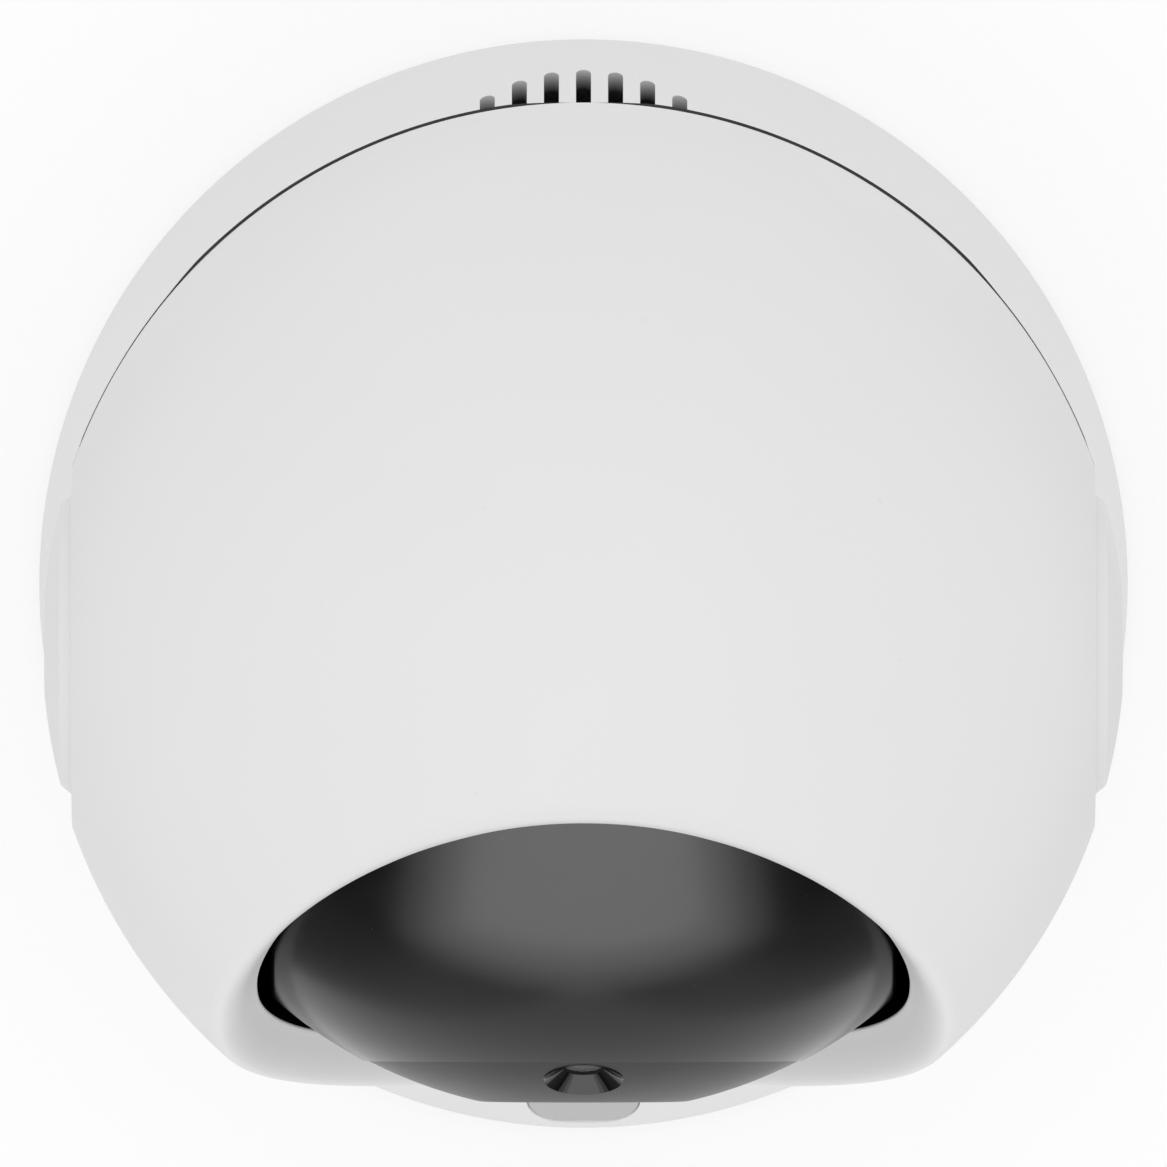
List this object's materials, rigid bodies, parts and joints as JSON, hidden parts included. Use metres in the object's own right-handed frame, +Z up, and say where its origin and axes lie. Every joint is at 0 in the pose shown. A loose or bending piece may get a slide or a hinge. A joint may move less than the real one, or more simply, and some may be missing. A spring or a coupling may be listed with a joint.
{
  "type": "dual-lens security camera",
  "caption": "Table-top pan and tilt camera: round base cone, white ball head, dark tilting ball with a main lens and a smaller one above it.",
  "frame": {"origin": "centre of the round base on the table plane", "axes": "+Z up along the upright line through the base, front faces -Y, +X to the right of the picture"},
  "size_m": [0.09, 0.09, 0.118],
  "materials": {
    "shell_white": "fine satin",
    "ball_black": "polished",
    "cap_black": "polished",
    "lens_glass": "coated",
    "window_dark": "tinted",
    "barrel_black": "matt",
    "grey_window": "translucent",
    "rubber_grey": "soft",
    "cover_white": "fine grained",
    "steel": "zinc plated",
    "motor_steel": "zinc plated",
    "brass": "turned",
    "gear_acetal": "moulded",
    "board_green": "solder mask",
    "chip_black": "matt",
    "lamp_clear": "clear",
    "speaker_black": "matt",
    "paper_grey": "paper",
    "button_grey": "satin"
  },
  "bodies": {
    "base": {"base_shell": "shell_white", "bottom_cover": "cover_white", "foot_ring": "rubber_grey", "base_screws": "steel", "tripod_insert": "brass", "status_window": "grey_window", "status_led": "lamp_clear", "speaker_frame": "speaker_black", "speaker_cone": "paper_grey", "speaker_magnet": "steel", "main_board": "board_green", "board_chips": "chip_black", "shield_can": "steel", "antenna_board": "board_green", "power_socket": "steel", "socket_tongue": "chip_black", "pan_motor": "motor_steel", "motor_screws": "steel", "pan_bushing": "gear_acetal", "reset_switch": "chip_black"},
    "reset_button": {"reset_button": "button_grey"},
    "pan_pinion": {"pan_pinion": "gear_acetal"},
    "head": {"head_shell_upper": "shell_white", "head_shell_lower": "shell_white", "side_cap_right": "shell_white", "side_cap_left": "shell_white", "shell_screws": "steel", "pan_spindle": "gear_acetal", "spindle_screws": "steel", "pan_gear": "gear_acetal", "gear_clip": "steel", "tilt_arm_right": "barrel_black", "tilt_arm_left": "barrel_black", "arm_screws": "steel", "tilt_bushings": "gear_acetal", "tilt_motor": "motor_steel"},
    "tilt_pinion": {"tilt_pinion": "gear_acetal"},
    "ball": {"ball_shell": "ball_black", "ball_back_cover": "ball_black", "face_cap": "cap_black", "lens_window": "window_dark", "main_lens_barrel": "barrel_black", "main_lens_glass": "lens_glass", "main_lens_holder": "barrel_black", "main_sensor_board": "board_green", "second_lens_barrel": "barrel_black", "second_lens_glass": "lens_glass", "second_sensor_board": "board_green", "lamp_board": "board_green", "night_lamps": "lamp_clear", "trunnion_right": "gear_acetal", "trunnion_left": "gear_acetal", "trunnion_screws": "steel", "tilt_gear": "gear_acetal"}
  },
  "joints": [
    {"name": "pan", "type": "hinge", "parent": "base", "child": "head", "pos_m": [0, -0.00495, 0.074], "axis": [0, 0, 1], "range_deg": [-170, 170]},
    {"name": "tilt", "type": "hinge", "parent": "head", "child": "ball", "pos_m": [0, -0.00495, 0.074], "axis": [-1, 0, 0], "range_deg": [-20, 40]},
    {"name": "pan_pinion_spin", "type": "hinge", "parent": "base", "child": "pan_pinion", "pos_m": [0.0192, -0.00495, 0.0158], "axis": [0, 0, 1], "range_deg": [-610, 610]},
    {"name": "tilt_pinion_spin", "type": "hinge", "parent": "head", "child": "tilt_pinion", "pos_m": [0.0262, 0.01928, 0.06973], "axis": [-1, 0, 0], "range_deg": [-197, 100]},
    {"name": "reset_press", "type": "slide", "parent": "base", "child": "reset_button", "axis": [0, 0, 1], "range_m": [0, 0.0004], "stiffness_N_per_m": 300}
  ],
  "couplings": [
    {"joint": "pan_pinion_spin", "follows": "pan", "ratio": -3.5714},
    {"joint": "tilt_pinion_spin", "follows": "tilt", "ratio": -4.8571}
  ]
}
